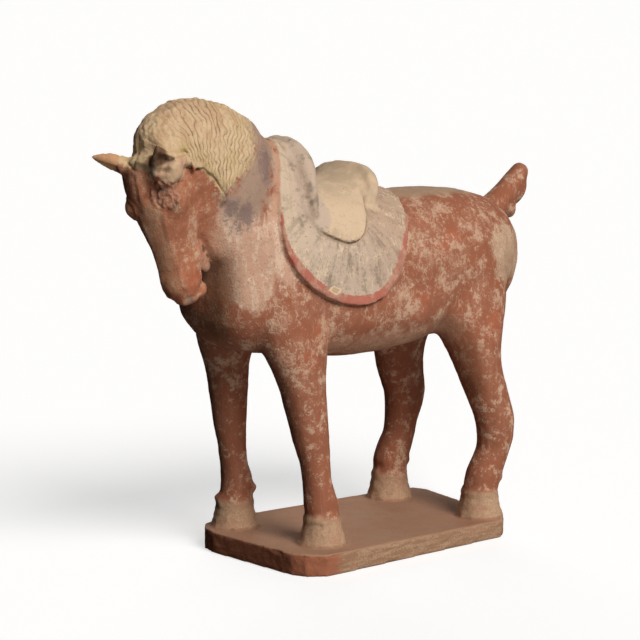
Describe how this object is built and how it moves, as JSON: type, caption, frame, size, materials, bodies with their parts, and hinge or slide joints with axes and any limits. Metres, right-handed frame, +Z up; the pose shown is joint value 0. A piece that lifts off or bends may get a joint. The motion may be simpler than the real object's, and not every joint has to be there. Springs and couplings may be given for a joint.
{
  "type": "pottery horse",
  "caption": "Saddled pottery horse standing square on a thin slab, head bowed and turned to its left, mane combed over, tail docked and raised, with worn earth colours.",
  "frame": {"origin": "on the slab's flat underside, below the middle of the horse", "axes": "+Z up out of the slab, the horse faces -X, its left side is -Y"},
  "size_m": [0.4777, 0.164, 0.4014],
  "materials": {
    "fired_clay": "unglazed red earthenware with worn matt pigments, dry and slightly rough"
  },
  "bodies": {
    "root": {"pottery_horse": "fired_clay"}
  },
  "joints": []
}
